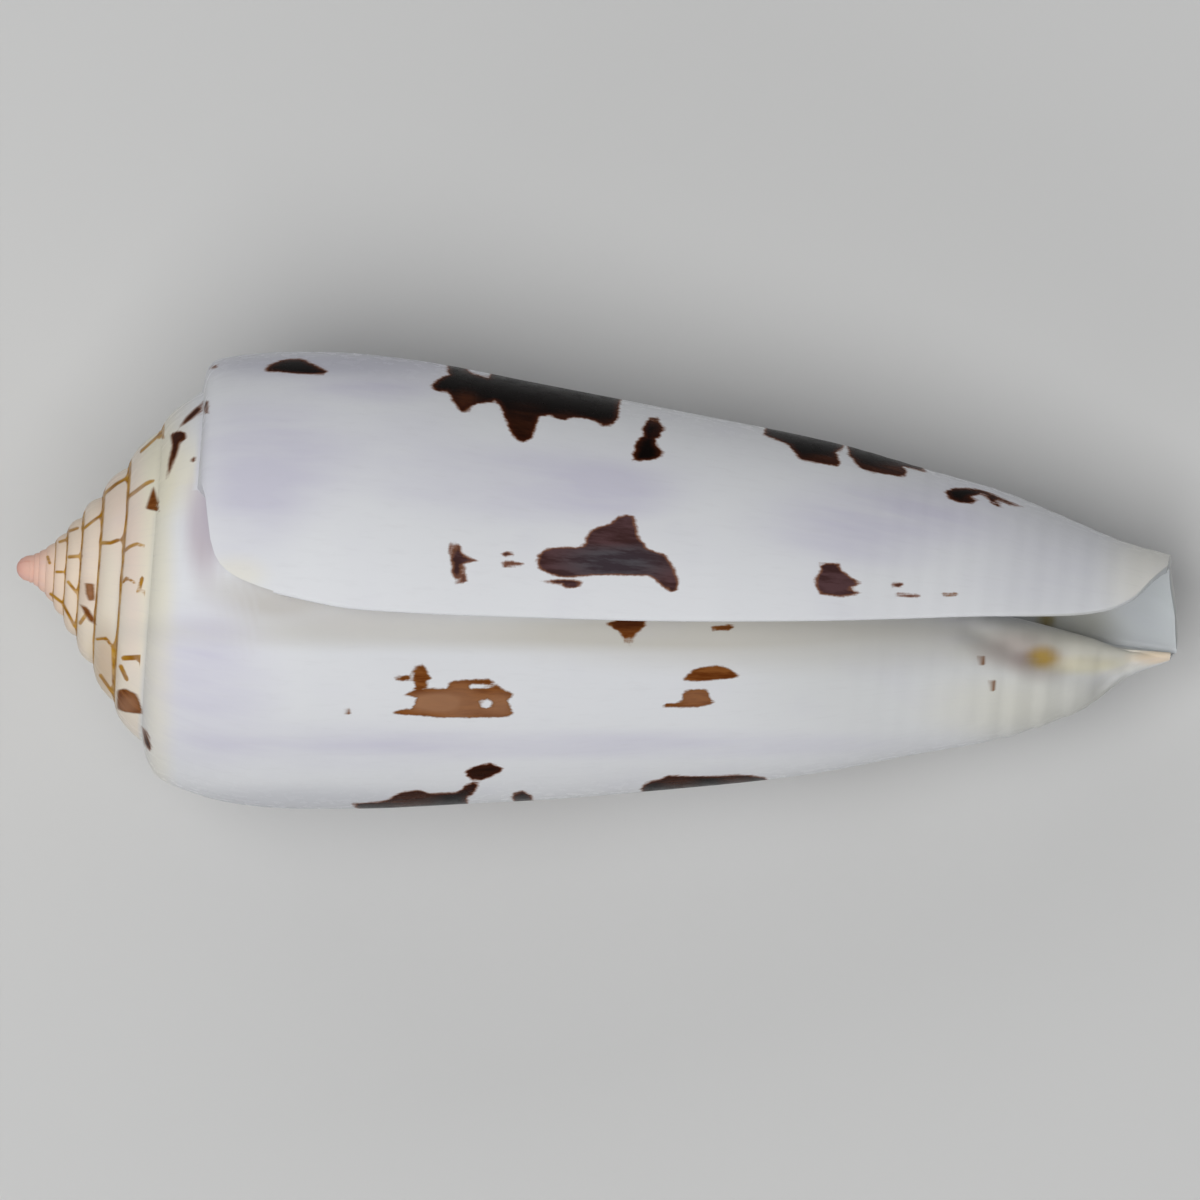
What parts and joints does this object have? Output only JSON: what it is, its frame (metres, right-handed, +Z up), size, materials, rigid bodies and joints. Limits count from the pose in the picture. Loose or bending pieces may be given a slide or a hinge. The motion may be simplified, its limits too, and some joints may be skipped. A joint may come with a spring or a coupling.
{
  "type": "cone shell",
  "caption": "Tall, tented cone shell with a stepped spire, a long narrow opening and a thin lip, lying on its back.",
  "frame": {"origin": "middle of the bounding box, on the surface that the shell lies on", "axes": "+X along the shell from its pointed spire to its open front end, +Z up, out of the side with the opening"},
  "size_m": [0.0744, 0.0296, 0.031],
  "materials": {
    "shell": "glossy porcelain-white shell with dark brown and orange blotches"
  },
  "bodies": {
    "root": {"shell": "shell"}
  },
  "joints": []
}
